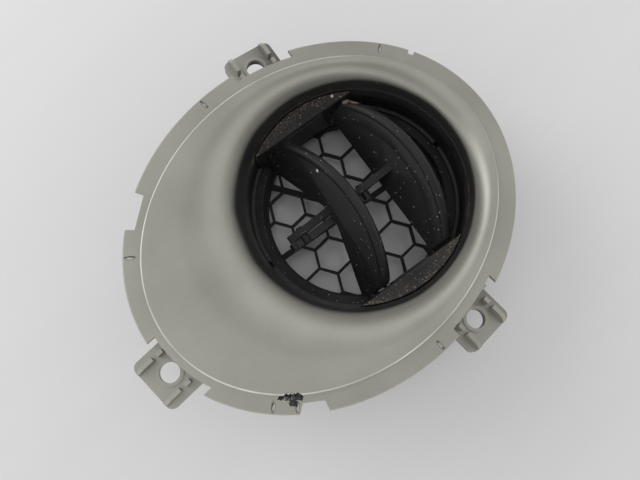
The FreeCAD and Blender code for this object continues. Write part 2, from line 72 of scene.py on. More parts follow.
# The bezel: its round opening, its tilted oval flange and the raised oval edge of its dish.
OPENING_HEIGHT = 0.027
OPENING_RADIUS = 0.035
FLANGE_HEIGHT = 0.0408
FLANGE_TILT = math.radians(8.3)
FLANGE_PLANE = 0.0400
FLANGE_HALF_LONG = 0.0612
FLANGE_HALF_SHORT = 0.0506
FLANGE_CENTRE_X = -0.01223
STEP_HALF_LONG = 0.0561
STEP_HALF_SHORT = 0.0450
STEP_CENTRE = (-0.01263, 0.00017)

# Silver paint: its clouds and flakes, how much of each goes into its tone, and the tones on both sides of it.
CLOUD_SCALE = 45.0
CLOUD_SHARE = 0.16
FLAKE_SCALE = 5200.0
FLAKE_SHARE = 0.1
TONE_LOW = 0.06
TONE_HIGH = 0.2
PAINT_DARKER = 0.86
PAINT_LIGHTER = 1.1
PAINT_GRAIN_SCALE = 3200.0
PAINT_GRAIN_HEIGHT = 0.000012
CLOUD_ROUGHNESS = 0.1

# Painted shade on the bell: shares of the bell's height between which the silver darkens to black towards the
# opening, how clouds move them, and how far the surface faces forward where the paint stops towards the
# bezel's back.
FADE_LOW = 0.42
FADE_HIGH = 0.62
FADE_CLOUD_SCALE = 60.0
FADE_CLOUD_SWING = 0.12
BACK_LOW = -0.35
BACK_HIGH = -0.1

# The painted highlight along the dish's raised edge: how far inside the edge it runs, its half width and
# where it is broken.
LINE_INSET = 0.00012
LINE_INNER = 0.0001
LINE_OUTER = 0.00035
LINE_BREAK_SCALE = 30.0
LINE_BREAKS = (0.3, 0.6)
STEP_HIGHLIGHT_COLOR = (0.78, 0.77, 0.72)

# Grime on the opening's edge: its ragged top, its patches, its roughness, and the line under it, which is
# dust and a painted highlight on the rim.
GRIME_EDGE_SCALE = 260.0
GRIME_EDGE_SWING = 0.006
GRIME_PATCH_SCALE = 75.0
GRIME_PATCHES = (0.42, 0.66)
GRIME_BREAKS = (0.12, 0.5)
GRIME_ROUGHNESS = 0.35
THROAT_WALL = 0.0012
DUSTY_HIGHLIGHT_BELOW = 0.0003
DUSTY_HIGHLIGHT_FULL = 0.0002
DUSTY_HIGHLIGHT_END = 0.0007
DUSTY_HIGHLIGHT_SHARE = 0.45
DUSTY_HIGHLIGHT_COLOR = (0.14, 0.125, 0.105)
CRUMB_REACH = 0.006
CRUMB_SHARE = 0.6
CRUMB_COLOR = (0.34, 0.29, 0.24)

# Worn spots and marks are given as centre, stretch, turn and size. The mould marks stand at angles, in
# degrees, on the flange's oval and this far inside it. Each has painted shade as a dark border and a painted
# highlight as a pale middle.
MARK_ANGLES = (35.4, 94.8, 146.7, 217.1, 223.9, 267.2)
MARK_INSET = 0.0021
MARK_SHADE_STRETCH = (0.34, 1.0, 1.0)
MARK_SHADE_SIZE = 0.00062
MARK_SHADE_SHARE = 0.85
MARK_SHADE_COLOR = (0.05, 0.047, 0.042)
MARK_HIGHLIGHT_STRETCH = (0.27, 1.0, 1.0)
MARK_HIGHLIGHT_SIZE = 0.00044
MARK_HIGHLIGHT_SHARE = 0.85
MARK_HIGHLIGHT_COLOR = (0.62, 0.60, 0.58)
PAINT_CHIP_COLOR = (0.75, 0.75, 0.74)
PAINT_CHIPS = (
    ((0.0370, -0.0301, 0.0344), (1.0, 0.22, 1.0), 0.9, 0.0005),
)
RIGHT_VANE_WEAR = (
    ((0.0190, 0.0254, 0.0262), (1.0, 0.55, 1.0), 0.3, 0.0016),
    ((0.0205, 0.0224, 0.0270), (1.0, 0.5, 1.0), 0.35, 0.0019),
    ((0.0222, 0.0186, 0.0285), (1.0, 0.4, 1.0), 0.3, 0.0012),
)
LEFT_VANE_CHIPS = (
    ((-0.0047, 0.0134, 0.0310), (1.0, 0.7, 1.0), 0.6, 0.0006),
    ((-0.0060, 0.0160, 0.0298), (1.0, 0.7, 1.0), 0.6, 0.0004),
)
CRESCENT_CHIPS = (
    ((0.0166, 0.0293, 0.0266), (1.0, 1.0, 1.0), 0.0, 0.0005),
)

# Black plastic: its sheen, its grain, its specks, and the tone that it varies to.
PLASTIC_SHEEN = 0.3
PLASTIC_LIGHTER = 1.5
PLASTIC_CLOUD_SCALE = 70.0
PLASTIC_GRAIN_SCALE = 2100.0
PLASTIC_GRAIN_HEIGHT = 0.000025
PLASTIC_GRAIN_ROUGHNESS = 0.14
FILM_ROUGHNESS = 0.3
SPECK_COLOR = (0.42, 0.40, 0.37)
BROWN_CRUMB_COLOR = (0.30, 0.22, 0.15)
PLASTIC_CHIP_COLOR = (0.62, 0.62, 0.6)

# Patterns of the shared effects: a film's patches, and a worn spot's ragged edge.
FILM_PATCHES = (0.35, 0.75)
SPOT_EDGE_SCALE = 1400.0
SPOT_EDGE = (0.75, 1.0)

# Smoothing: how near loose corners are joined, and the angles in degrees past which edges stay sharp.
JOIN_DISTANCE = 0.000002
SHARP_ANGLE = 30
VANE_SHARP_ANGLE = 50
NOSE_SHARP_ANGLE = 40

# Dust on the barrel's bead, where it also serves as a painted highlight on the bead's top, and on the drum's
# crescents: between two heights, thickening from the inner radius to the outer one, and how much film and how
# many crumbs lie there.
BEAD_DUST_AND_HIGHLIGHT = {"low": 0.0134, "high": 0.0139, "inner": 0.0330, "outer": 0.0332, "film": 0.16, "crumbs": 0.1}
CRESCENT_DUST = {
    "low": 0.0262, "high": 0.0268, "inner": 0.0305, "outer": 0.0345, "film": 0.06, "crumbs": 0.75,
}

# Vane noses, in a vane's own plane: its lean, the lip's arc and how far it reaches from the pivot, and the
# band's front edge and face. Of the band's rear edge, the first number is its distance from the pivot and the
# second is its radius.
VANE_LEAN = math.radians(41.5)
LIP_REACH = 0.0196
LIP_ARC_R = 0.0426
LIP_END_ROUND = 0.0007
BAND_FRONT_R = 0.0405
BAND_FACE = -0.00165
RIGHT_BAND = (0.0135, 0.0347)
LEFT_BAND = (0.0093, 0.0500)
ARC_STEPS = 160
LIP_STEPS = 16
BEVEL_ANGLE = 40
TRIM_BOX_THICK = 0.02
TRIM_BOX_LONG = 0.03
TRIM_BOX_START = 0.0005

# Torn plastic in the chewed hole: its place, its turn, and the offset and size of each lump.
TEAR_PLACE = (-0.0543, -0.0312, 0.0476)
TEAR_TURN = math.radians(-41)
TEAR_LUMPS = (
    ((0.0021, 0.0004, -0.0001), (0.0032, 0.0030, 0.0011)),
    ((0.0001, -0.0001, -0.0001), (0.0036, 0.0040, 0.0012)),
    ((-0.0020, 0.0004, -0.0002), (0.0036, 0.0030, 0.0011)),
)
TEAR_ROUGHNESS = 0.7
TEAR_DARK = (0.012, 0.012, 0.013)
TEAR_FRAYED = (0.42, 0.42, 0.41)
TEAR_FRAY_SCALE = 900.0
TEAR_FRAYS = (0.52, 0.66)
TEAR_GRAIN_SCALE = 1500.0
TEAR_GRAIN_HEIGHT = 0.0002
TEAR_CLOUD_SIZE = 0.0011
TEAR_DEPTH = 0.0009


class VentStageSettings(bpy.types.PropertyGroup):
    """Floor, lamps and camera of the photograph."""

    floor_color: bpy.props.FloatVectorProperty(
        name="Floor colour", description="Colour of the pale table top", subtype="COLOR", size=3, min=0.0,
        max=1.0, default=(0.80, 0.795, 0.80))
    floor_size: bpy.props.FloatProperty(
        name="Floor size", description="Side of the square floor", unit="LENGTH", min=0.5, default=3.0)
    backdrop: bpy.props.FloatVectorProperty(
        name="Backdrop colour", description="What the camera sees past the floor", subtype="COLOR", size=3,
        min=0.0, max=1.0, default=(0.62, 0.62, 0.63))
    fill: bpy.props.FloatProperty(
        name="Wall light", description="Strength of the even light from the pale walls", min=0.0,
        default=1.35)
    ceiling: bpy.props.FloatProperty(
        name="Ceiling light", description="Strength of the even light from overhead", min=0.0, default=0.15)
    key_power: bpy.props.FloatProperty(
        name="Window light", description="Power of the large soft lamp at the upper left", unit="POWER",
        min=0.0, default=3.8)
    key_size: bpy.props.FloatProperty(
        name="Window size", description="Side of the large soft lamp", unit="LENGTH", min=0.05, default=0.7)
    key_place: bpy.props.FloatVectorProperty(
        name="Window place", description="Where the large soft lamp hangs", subtype="XYZ", size=3,
        default=(-0.4, 0.95, 0.7))
    top_power: bpy.props.FloatProperty(
        name="Top light", description="Power of the wide soft lamp overhead", unit="POWER", min=0.0,
        default=4.4)
    top_size: bpy.props.FloatProperty(
        name="Top size", description="Side of the wide lamp overhead", unit="LENGTH", min=0.05, default=2.2)
    top_place: bpy.props.FloatVectorProperty(
        name="Top place", description="Where the wide lamp hangs", subtype="XYZ", size=3,
        default=(0.05, 0.8, 1.3))
    top_spread: bpy.props.FloatProperty(
        name="Top spread", description="How widely the lamp overhead throws its light", unit="ROTATION",
        min=0.1, max=math.pi, default=math.radians(95))
    side_power: bpy.props.FloatProperty(
        name="Side light", description="Power of the weaker lamp across from the window", unit="POWER",
        min=0.0, default=0.5)
    side_place: bpy.props.FloatVectorProperty(
        name="Side place", description="Where the weaker lamp hangs", subtype="XYZ", size=3,
        default=(0.55, -0.35, 0.7))


class VentPaintSettings(bpy.types.PropertyGroup):
    """Silver paint of the bezel, with the grime along the opening."""

    paint: bpy.props.FloatVectorProperty(
        name="Paint colour", description="Warm silver of the bezel", subtype="COLOR", size=3, min=0.0,
        max=1.0, default=(0.36, 0.355, 0.312))
    metal: bpy.props.FloatProperty(
        name="Metal flake", description="How metallic the paint looks", subtype="FACTOR", min=0.0, max=1.0,
        default=0.6)
    roughness: bpy.props.FloatProperty(
        name="Paint roughness", description="Satin finish of the paint", subtype="FACTOR", min=0.0, max=1.0,
        default=0.36)
    # Also the colour of the painted shade that darkens the silver towards the opening.
    bare_and_shade: bpy.props.FloatVectorProperty(
        name="Bare colour", description="Black plastic where the paint thins out towards the opening",
        subtype="COLOR", size=3, min=0.0, max=1.0, default=(0.016, 0.016, 0.016))
    grime: bpy.props.FloatVectorProperty(
        name="Grime colour", description="Brown dust held by the edge of the opening", subtype="COLOR",
        size=3, min=0.0, max=1.0, default=(0.15, 0.105, 0.072))
    grime_top: bpy.props.FloatProperty(
        name="Grime reach", description="Height above the opening at which the grime ends", unit="LENGTH",
        min=0.0, default=0.0022)


class VentPlasticSettings(bpy.types.PropertyGroup):
    """Matt black plastic of the barrel, drum, vanes and grille."""

    plastic: bpy.props.FloatVectorProperty(
        name="Plastic colour", description="Near black of the mouldings", subtype="COLOR", size=3, min=0.0,
        max=1.0, default=(0.009, 0.009, 0.0095))
    dust: bpy.props.FloatVectorProperty(
        name="Dust colour", description="Grey film and specks on the plastic", subtype="COLOR", size=3,
        min=0.0, max=1.0, default=(0.30, 0.28, 0.25))
    worn: bpy.props.FloatVectorProperty(
        name="Worn colour", description="Tan patch where the vane's lip is rubbed", subtype="COLOR", size=3,
        min=0.0, max=1.0, default=(0.27, 0.19, 0.13))


class VentNoseSettings(bpy.types.PropertyGroup):
    """Rounded lip of each vane and the thin band behind it."""

    lip_radius: bpy.props.FloatProperty(
        name="Lip radius", description="Roundness of the vane's lip", unit="LENGTH", min=0.0005,
        default=0.0018)
    lip_width: bpy.props.FloatProperty(
        name="Lip width", description="Length of the lip along the pivot", unit="LENGTH", min=0.01,
        default=0.0532)
    band_thick: bpy.props.FloatProperty(
        name="Band thickness", description="Thickness of the band's plate", unit="LENGTH", min=0.0003,
        default=0.0008)
    band_width: bpy.props.FloatProperty(
        name="Band width", description="Length of the band along the pivot", unit="LENGTH", min=0.01,
        default=0.053)
    # The band's rounded edge carries a painted highlight.
    band_round: bpy.props.FloatProperty(
        name="Band rounding", description="Width of the rubbed edge of the band", unit="LENGTH", min=0.00005,
        default=0.00022)


def new_group(name, inputs, outputs):
    """An empty shader node group with its sockets and its two end nodes."""
    group = bpy.data.node_groups.new(name, "ShaderNodeTree")
    for socket, kind, value in inputs:
        made = group.interface.new_socket(socket, in_out="INPUT", socket_type=kind)
        if value is not None:
            made.default_value = value
    for socket, kind in outputs:
        group.interface.new_socket(socket, in_out="OUTPUT", socket_type=kind)
    return group, group.nodes.new("NodeGroupInput"), group.nodes.new("NodeGroupOutput")


def link(tree, source, target):
    tree.links.new(source, target)


def feed(tree, target, given):
    """Links a socket to another one, or sets it to a plain number or vector."""
    if isinstance(given, bpy.types.NodeSocket):
        link(tree, given, target)
    else:
        target.default_value = given


def math_node(tree, operation, first, second=None, clamp=False):
    """A Math node fed by sockets or plain numbers."""
    node = tree.nodes.new("ShaderNodeMath")
    node.operation = operation
    node.use_clamp = clamp
    feed(tree, node.inputs[0], first)
    if second is not None:
        feed(tree, node.inputs[1], second)
    return node.outputs[0]


def vector_node(tree, operation, first, second=None):
    """A Vector Math node fed by sockets or plain vectors."""
    node = tree.nodes.new("ShaderNodeVectorMath")
    node.operation = operation
    feed(tree, node.inputs[0], first)
    if second is not None:
        feed(tree, node.inputs[1], second)
    return node.outputs["Value"] if operation == "LENGTH" else node.outputs["Vector"]


def product(tree, first, *others):
    """Several masks or numbers multiplied together."""
    total = first
    for other in others:
        total = math_node(tree, "MULTIPLY", total, other)
    return total


def flipped(tree, mask):
    """1 where the mask is 0, and 0 where it is 1."""
    return math_node(tree, "SUBTRACT", 1.0, mask)


def smooth_between(tree, value, low, high):
    """0 below low and 1 above high, with a soft change between."""
    node = tree.nodes.new("ShaderNodeMapRange")
    node.interpolation_type = "SMOOTHSTEP"
    feed(tree, node.inputs["Value"], value)
    feed(tree, node.inputs["From Min"], low)
    feed(tree, node.inputs["From Max"], high)
    return node.outputs["Result"]


def noise(tree, place, scale, detail=3.0, roughness=0.5):
    """A noise value between 0 and 1 at a place."""
    node = tree.nodes.new("ShaderNodeTexNoise")
    link(tree, place, node.inputs["Vector"])
    feed(tree, node.inputs["Scale"], scale)
    node.inputs["Detail"].default_value = detail
    node.inputs["Roughness"].default_value = roughness
    return node.outputs["Fac"]


def swing_of(tree, value, reach):
    """A noise value turned into a swing to both sides of 0."""
    return math_node(tree, "MULTIPLY", math_node(tree, "SUBTRACT", value, 0.5), reach)


def mixed(tree, share, first, second):
    """A colour mixed from two colours by a share."""
    node = tree.nodes.new("ShaderNodeMix")
    node.data_type = "RGBA"
    feed(tree, node.inputs[0], share)
    for socket, given in ((6, first), (7, second)):
        feed(tree, node.inputs[socket], given if isinstance(given, bpy.types.NodeSocket) else (*given, 1.0))
    return node.outputs[2]


def split_axes(tree, vector):
    """The three parts of a vector."""
    node = tree.nodes.new("ShaderNodeSeparateXYZ")
    link(tree, vector, node.inputs["Vector"])
    return node.outputs["X"], node.outputs["Y"], node.outputs["Z"]


def build_specks():
    """Dust specks: small soft dots, in only some of the cells of a random pattern."""
    group, start, end = new_group(
        "Vent dust specks",
        [("Place", "NodeSocketVector", None), ("Scale", "NodeSocketFloat", 900.0),
         ("Size", "NodeSocketFloat", 0.25), ("Share", "NodeSocketFloat", 0.2)],
        [("Mask", "NodeSocketFloat")])
    cells = group.nodes.new("ShaderNodeTexVoronoi")
    link(group, start.outputs["Place"], cells.inputs["Vector"])
    link(group, start.outputs["Scale"], cells.inputs["Scale"])
    split = group.nodes.new("ShaderNodeSeparateColor")
    link(group, cells.outputs["Color"], split.inputs["Color"])
    reach = product(group, start.outputs["Size"], split.outputs["Green"])
    dot = math_node(group, "LESS_THAN", cells.outputs["Distance"], reach)
    chosen = math_node(group, "LESS_THAN", split.outputs["Red"], start.outputs["Share"])
    link(group, product(group, dot, chosen), end.inputs["Mask"])
    return group


def build_spot():
    """A worn or chipped spot: a ragged blot round a place, longer one way than the other."""
    group, start, end = new_group(
        "Vent worn spot",
        [("Place", "NodeSocketVector", None), ("Centre", "NodeSocketVector", None),
         ("Stretch", "NodeSocketVector", (1.0, 1.0, 1.0)), ("Turn", "NodeSocketFloat", 0.0),
         ("Size", "NodeSocketFloat", 0.002), ("Ragged", "NodeSocketFloat", 0.5)],
        [("Mask", "NodeSocketFloat")])
    apart = vector_node(group, "SUBTRACT", start.outputs["Place"], start.outputs["Centre"])
    turn = group.nodes.new("ShaderNodeVectorRotate")
    turn.rotation_type = "Z_AXIS"
    link(group, apart, turn.inputs["Vector"])
    link(group, start.outputs["Turn"], turn.inputs["Angle"])
    scaled = vector_node(group, "MULTIPLY", turn.outputs["Vector"], start.outputs["Stretch"])
    distance = vector_node(group, "LENGTH", scaled)
    rough = noise(group, start.outputs["Place"], SPOT_EDGE_SCALE, detail=4.0, roughness=0.6)
    swing = swing_of(group, rough, start.outputs["Ragged"])
    relative = math_node(group, "ADD", math_node(group, "DIVIDE", distance, start.outputs["Size"]), swing)
    link(group, flipped(group, smooth_between(group, relative, *SPOT_EDGE)), end.inputs["Mask"])
    return group


def build_film():
    """An uneven film of dust: large soft patches broken by fine grain."""
    group, start, end = new_group(
        "Vent dust film",
        [("Place", "NodeSocketVector", None), ("Patch scale", "NodeSocketFloat", 90.0),
         ("Grain scale", "NodeSocketFloat", 1500.0), ("Amount", "NodeSocketFloat", 0.2)],
        [("Mask", "NodeSocketFloat")])
    clouds = noise(group, start.outputs["Place"], start.outputs["Patch scale"])
    patches = smooth_between(group, clouds, *FILM_PATCHES)
    grain = noise(group, start.outputs["Place"], start.outputs["Grain scale"], detail=2.0)
    link(group, product(group, patches, grain, start.outputs["Amount"]), end.inputs["Mask"])
    return group


def build_moulded():
    """The fine orange-peel grain of paint and moulded plastic, as a normal."""
    group, start, end = new_group(
        "Vent moulded grain",
        [("Place", "NodeSocketVector", None), ("Scale", "NodeSocketFloat", 2500.0),
         ("Height", "NodeSocketFloat", 0.00002)],
        [("Normal", "NodeSocketVector"), ("Grain", "NodeSocketFloat")])
    grain = noise(group, start.outputs["Place"], start.outputs["Scale"], detail=2.0, roughness=0.6)
    bump = group.nodes.new("ShaderNodeBump")
    link(group, product(group, grain, start.outputs["Height"]), bump.inputs["Height"])
    bump.inputs["Distance"].default_value = 1.0
    link(group, bump.outputs["Normal"], end.inputs["Normal"])
    link(group, grain, end.inputs["Grain"])
    return group


def build_shade_towards_opening():
    """Painted shade down the bell: 1 on the flange, fading to 0 above the opening, where the silver is
    darkened to black.

    The fade follows the share of the bell's own height, which is less on the narrow side.
    """
    group, start, end = new_group(
        "Vent shade towards opening", [("Place", "NodeSocketVector", None)], [("Mask", "NodeSocketFloat")])
    across, _, height = split_axes(group, start.outputs["Place"])
    fall = product(group, across, math.tan(FLANGE_TILT))
    depth = math_node(group, "SUBTRACT", FLANGE_HEIGHT - OPENING_HEIGHT, fall)
    share = math_node(group, "DIVIDE", math_node(group, "SUBTRACT", height, OPENING_HEIGHT), depth)
    cloud = noise(group, start.outputs["Place"], FADE_CLOUD_SCALE, detail=2.0)
    cloud = swing_of(group, cloud, FADE_CLOUD_SWING)
    reach = smooth_between(group, math_node(group, "ADD", share, cloud), FADE_LOW, FADE_HIGH)
    link(group, reach, end.inputs["Mask"])
    return group


def build_step_edge():
    """A thin line along the raised oval edge of the dish, where a pale highlight is painted."""
    group, start, end = new_group(
        "Vent step edge", [("Place", "NodeSocketVector", None)], [("Mask", "NodeSocketFloat")])
    level = group.nodes.new("ShaderNodeVectorRotate")
    level.rotation_type = "Y_AXIS"
    level.inputs["Center"].default_value = (0.0, 0.0, FLANGE_PLANE)
    level.inputs["Angle"].default_value = -FLANGE_TILT
    link(group, start.outputs["Place"], level.inputs["Vector"])
    shifted = vector_node(group, "SUBTRACT", level.outputs["Vector"], (*STEP_CENTRE, 0.0))
    flat = vector_node(group, "MULTIPLY", shifted, (1.0, 1.0, 0.0))
    round_part = vector_node(group, "MULTIPLY", flat, (1 / STEP_HALF_LONG, 1 / STEP_HALF_SHORT, 0.0))
    share = vector_node(group, "LENGTH", round_part)
    away = product(group, flipped(group, share), vector_node(group, "LENGTH", flat))
    apart = math_node(group, "ABSOLUTE", math_node(group, "SUBTRACT", away, LINE_INSET))
    link(group, flipped(group, smooth_between(group, apart, LINE_INNER, LINE_OUTER)), end.inputs["Mask"])
    return group


def build_dusty_ring():
    """A ring round the barrel's axis, between two heights, that thickens from one radius to another."""
    group, start, end = new_group(
        "Vent dusty ring",
        [("Place", "NodeSocketVector", None), ("Low", "NodeSocketFloat", 0.0),
         ("High", "NodeSocketFloat", 0.01), ("Inner", "NodeSocketFloat", 0.03),
         ("Outer", "NodeSocketFloat", 0.035)],
        [("Mask", "NodeSocketFloat")])
    height = split_axes(group, start.outputs["Place"])[2]
    flat = vector_node(group, "MULTIPLY", start.outputs["Place"], (1.0, 1.0, 0.0))
    radius = vector_node(group, "LENGTH", flat)
    thick = smooth_between(group, radius, start.outputs["Inner"], start.outputs["Outer"])
    over = math_node(group, "GREATER_THAN", height, start.outputs["Low"])
    under = math_node(group, "LESS_THAN", height, start.outputs["High"])
    link(group, product(group, thick, over, under), end.inputs["Mask"])
    return group


GROUP_BUILDERS = {
    "Vent step edge": build_step_edge,
    "Vent dusty ring": build_dusty_ring,
    "Vent shade towards opening": build_shade_towards_opening,
    "Vent dust specks": build_specks,
    "Vent worn spot": build_spot,
    "Vent dust film": build_film,
    "Vent moulded grain": build_moulded,
}


def use_group(tree, name, **values):
    """A node of one of the effect groups, built once, with its inputs set or linked."""
    group = bpy.data.node_groups.get(name) or GROUP_BUILDERS[name]()
    node = tree.nodes.new("ShaderNodeGroup")
    node.node_tree = group
    for socket, given in values.items():
        feed(tree, node.inputs[socket.replace("_", " ").capitalize()], given)
    return node


def mask_of(tree, name, **values):
    """The mask of one of the effect groups."""
    return use_group(tree, name, **values).outputs["Mask"]


def new_material(name, roughness, metallic=0.0):
    """A material with its shader and its object coordinates ready."""
    material = bpy.data.materials.new(name)
    material.use_nodes = True
    tree = material.node_tree
    shader = tree.nodes["Principled BSDF"]
    shader.inputs["Roughness"].default_value = roughness
    shader.inputs["Metallic"].default_value = metallic
    place = tree.nodes.new("ShaderNodeTexCoord").outputs["Object"]
    return material, tree, shader, place


def spots_mask(tree, place, spots):
    """One mask of all the worn spots in a list."""
    total = None
    for centre, stretch, turn, size in spots:
        mask = mask_of(
            tree, "Vent worn spot", place=place, centre=centre, stretch=stretch, turn=turn, size=size)
        total = mask if total is None else math_node(tree, "MAXIMUM", total, mask)
    return total


def mark_spots(stretch, size):
    """The six mould marks round the flange, as spots of one stretch and size."""
    spots = []
    for angle in MARK_ANGLES:
        share = math.radians(angle)
        direction = math.atan2(math.sin(share) / FLANGE_HALF_SHORT, math.cos(share) / FLANGE_HALF_LONG)
        x = FLANGE_CENTRE_X + FLANGE_HALF_LONG * math.cos(share) - MARK_INSET * math.cos(direction)
        y = FLANGE_HALF_SHORT * math.sin(share) - MARK_INSET * math.sin(direction)
        place = (x * math.cos(FLANGE_TILT), y, FLANGE_PLANE - x * math.sin(FLANGE_TILT))
        spots.append((place, stretch, -direction, size))
    return spots


def paint_tone(tree, place, settings, cloudy):
    """The paint's own colour, a little cloudy and with fine flakes."""
    flakes = noise(tree, place, FLAKE_SCALE, detail=1.0)
    tone = math_node(tree, "ADD", product(tree, cloudy, CLOUD_SHARE), product(tree, flakes, FLAKE_SHARE))
    darker = tuple(value * PAINT_DARKER for value in settings.paint)
    lighter = tuple(min(1.0, value * PAINT_LIGHTER) for value in settings.paint)
    return mixed(tree, smooth_between(tree, tone, TONE_LOW, TONE_HIGH), darker, lighter)


def opening_dirt_and_highlight(tree, place, height, settings):
    """Masks of the patchy grime above the opening's edge and of the line on it, which is dust and a painted
    highlight.
    """
    ragged = noise(tree, place, GRIME_EDGE_SCALE, detail=5.0, roughness=0.65)
    ragged = swing_of(tree, ragged, GRIME_EDGE_SWING)
    edge_height = math_node(tree, "ADD", height, ragged)
    top = OPENING_HEIGHT + settings.grime_top
    near_edge = flipped(tree, smooth_between(tree, edge_height, OPENING_HEIGHT, top))
    patches = smooth_between(tree, noise(tree, place, GRIME_PATCH_SCALE), *GRIME_PATCHES)
    grain = mask_of(tree, "Vent dust film", place=place, patch_scale=160.0, grain_scale=2400.0, amount=1.0)
    broken = smooth_between(tree, grain, *GRIME_BREAKS)
    flat = vector_node(tree, "MULTIPLY", place, (1.0, 1.0, 0.0))
    inside = math_node(tree, "LESS_THAN", vector_node(tree, "LENGTH", flat), OPENING_RADIUS + THROAT_WALL)
    line_top = flipped(tree, smooth_between(
        tree, height, OPENING_HEIGHT + DUSTY_HIGHLIGHT_FULL, OPENING_HEIGHT + DUSTY_HIGHLIGHT_END))
    line_low = math_node(tree, "GREATER_THAN", height, OPENING_HEIGHT - DUSTY_HIGHLIGHT_BELOW)
    return product(tree, near_edge, patches, broken, inside), product(tree, line_top, line_low, inside)


def silver_paint(settings):
    """Satin warm silver paint, darkened to black plastic towards the opening by painted shade, with painted
    highlights, grime, mould marks and small chips.
    """
    material, tree, shader, place = new_material("Bezel silver paint", settings.roughness, settings.metal)
    height = split_axes(tree, place)[2]
    cloudy = noise(tree, place, CLOUD_SCALE)
    base = paint_tone(tree, place, settings, cloudy)
    # Painted highlight: a pale broken line along the dish's raised edge.
    highlit = smooth_between(tree, noise(tree, place, LINE_BREAK_SCALE), *LINE_BREAKS)
    base = mixed(tree, product(tree, mask_of(tree, "Vent step edge", place=place), highlit), base, STEP_HIGHLIGHT_COLOR)
    facing = tree.nodes.new("ShaderNodeTexCoord").outputs["Normal"]
    front = smooth_between(tree, split_axes(tree, facing)[2], BACK_LOW, BACK_HIGH)
    # Painted shade: the silver darkens to black towards the opening; faces turned backwards stay unpainted
    # plastic.
    painted = product(tree, mask_of(tree, "Vent shade towards opening", place=place), front)
    base = mixed(tree, flipped(tree, painted), base, settings.bare_and_shade)
    grime, dusty_highlight = opening_dirt_and_highlight(tree, place, height, settings)
    base = mixed(tree, grime, base, settings.grime)
    specks = mask_of(tree, "Vent dust specks", place=place, scale=700.0, size=0.3, share=0.16)
    low_wall = flipped(tree, smooth_between(tree, height, OPENING_HEIGHT, OPENING_HEIGHT + CRUMB_REACH))
    base = mixed(tree, product(tree, specks, low_wall, CRUMB_SHARE), base, CRUMB_COLOR)
    # Dust and painted highlight: a pale line round the opening's rim.
    base = mixed(tree, product(tree, dusty_highlight, DUSTY_HIGHLIGHT_SHARE), base, DUSTY_HIGHLIGHT_COLOR)
    # Painted shade and painted highlight on the mould marks: a dark border round a pale middle.
    mark_shade = product(tree, spots_mask(tree, place, mark_spots(MARK_SHADE_STRETCH, MARK_SHADE_SIZE)), MARK_SHADE_SHARE)
    base = mixed(tree, mark_shade, base, MARK_SHADE_COLOR)
    middle = product(tree, spots_mask(tree, place, mark_spots(MARK_HIGHLIGHT_STRETCH, MARK_HIGHLIGHT_SIZE)), MARK_HIGHLIGHT_SHARE)
    base = mixed(tree, middle, base, MARK_HIGHLIGHT_COLOR)
    base = mixed(tree, spots_mask(tree, place, PAINT_CHIPS), base, PAINT_CHIP_COLOR)
    link(tree, base, shader.inputs["Base Color"])
    metallic = math_node(tree, "SUBTRACT", painted, math_node(tree, "ADD", grime, middle), clamp=True)
    link(tree, product(tree, metallic, settings.metal), shader.inputs["Metallic"])
    rough = math_node(tree, "ADD", settings.roughness, product(tree, cloudy, CLOUD_ROUGHNESS))
    rough = math_node(tree, "ADD", rough, product(tree, grime, GRIME_ROUGHNESS), clamp=True)
    link(tree, rough, shader.inputs["Roughness"])
    moulded = use_group(
        tree, "Vent moulded grain", place=place, scale=PAINT_GRAIN_SCALE, height=PAINT_GRAIN_HEIGHT)
    link(tree, moulded.outputs["Normal"], shader.inputs["Normal"])
    return material


def black_plastic(name, settings, roughness, film, speck_share, spots=(), chips=(), dusty=None):
    """Matt black moulded plastic with a film of dust, pale specks, worn spots, chips and a dusty band."""
    material, tree, shader, place = new_material(name, roughness)
    shader.inputs["Specular IOR Level"].default_value = PLASTIC_SHEEN
    film_mask = mask_of(
        tree, "Vent dust film", place=place, patch_scale=110.0, grain_scale=1900.0, amount=film)
    specks = mask_of(tree, "Vent dust specks", place=place, scale=1900.0, size=0.34, share=speck_share)
    lighter = tuple(value * PLASTIC_LIGHTER for value in settings.plastic)
    base = mixed(tree, noise(tree, place, PLASTIC_CLOUD_SCALE), settings.plastic, lighter)
    base = mixed(tree, film_mask, base, settings.dust)
    base = mixed(tree, specks, base, SPECK_COLOR)
    if dusty:
        band = mask_of(tree, "Vent dusty ring", place=place, low=dusty["low"], high=dusty["high"],
                       inner=dusty["inner"], outer=dusty["outer"])
        base = mixed(tree, product(tree, band, dusty["film"]), base, settings.dust)
        crumbs = mask_of(tree, "Vent dust specks", place=place, scale=2300.0, size=0.6, share=0.55)
        base = mixed(tree, product(tree, band, crumbs, dusty["crumbs"]), base, BROWN_CRUMB_COLOR)
    if spots:
        base = mixed(tree, spots_mask(tree, place, spots), base, settings.worn)
    if chips:
        base = mixed(tree, spots_mask(tree, place, chips), base, PLASTIC_CHIP_COLOR)
    link(tree, base, shader.inputs["Base Color"])
    moulded = use_group(
        tree, "Vent moulded grain", place=place, scale=PLASTIC_GRAIN_SCALE, height=PLASTIC_GRAIN_HEIGHT)
    uneven = product(tree, moulded.outputs["Grain"], PLASTIC_GRAIN_ROUGHNESS)
    rough = math_node(tree, "ADD", roughness, uneven)
    rough = math_node(tree, "ADD", rough, product(tree, film_mask, FILM_ROUGHNESS), clamp=True)
    link(tree, rough, shader.inputs["Roughness"])
    link(tree, moulded.outputs["Normal"], shader.inputs["Normal"])
    return material


